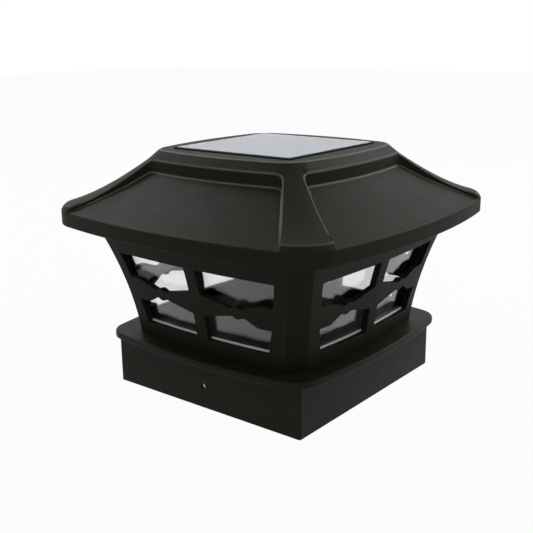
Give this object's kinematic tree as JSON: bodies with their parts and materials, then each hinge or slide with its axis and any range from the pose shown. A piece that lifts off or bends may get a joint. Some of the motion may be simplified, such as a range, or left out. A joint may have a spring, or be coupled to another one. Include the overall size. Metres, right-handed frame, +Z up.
{
  "type": "deck post cap light",
  "caption": "Solar cap light for a square timber deck post: flared lantern with paned windows under a broad hipped lid with a solar panel.",
  "frame": {"origin": "centre of the skirt's bottom rim", "axes": "+Z up through the lantern; -Y faces the side with a fixing hole, +X the side without"},
  "size_m": [0.2202, 0.2202, 0.1537],
  "materials": {
    "housing": "fine textured matte black moulding",
    "clear_pane": "clear moulded panes",
    "panel_cover": "clear cover over the cells",
    "solar_cell": "dark blue silicon with fine contact lines",
    "panel_board": "white laminate",
    "circuit": "green circuit board",
    "lamp": "warm white LED domes",
    "diffuser": "frosted diffuser",
    "screw": "zinc plated steel",
    "contact": "nickel plated spring steel",
    "battery": "sleeved steel can",
    "switch": "black switch body",
    "slider": "light grey slider",
    "seal": "black foam",
    "lead": "insulated leads"
  },
  "bodies": {
    "lantern": {"post_base": "housing", "lantern_frame": "housing", "lantern_floor": "housing", "pane_front": "clear_pane", "pane_right": "clear_pane", "pane_back": "clear_pane", "pane_left": "clear_pane", "base_screws": "screw"},
    "head": {"head_screws": "screw", "board_screws": "screw", "roof_cap": "housing", "panel_seal": "seal", "solar_backing": "panel_board", "solar_cells": "solar_cell", "solar_cover": "panel_cover", "head_plate": "housing", "circuit_board": "circuit", "leds": "lamp", "led_diffuser": "diffuser", "battery_box": "housing", "aa_battery": "battery", "contact_plus": "contact", "contact_minus": "contact", "hinge_pin": "screw", "switch_body": "switch", "panel_leads": "lead", "battery_leads": "lead", "switch_leads": "lead"},
    "battery_door": {"battery_door": "housing"},
    "switch_slider": {"switch_slider": "slider"}
  },
  "joints": [
    {"name": "head_lift", "type": "slide", "parent": "lantern", "child": "head", "axis": [0, 0, 1], "range_m": [0, 0.06]},
    {"name": "battery_door_hinge", "type": "hinge", "parent": "head", "child": "battery_door", "pos_m": [-0.04535, 0, 0.1071], "axis": [0, 1, 0], "range_deg": [0, 90]},
    {"name": "switch_slide", "type": "slide", "parent": "head", "child": "switch_slider", "axis": [1, 0, 0], "range_m": [0, 0.004]}
  ]
}
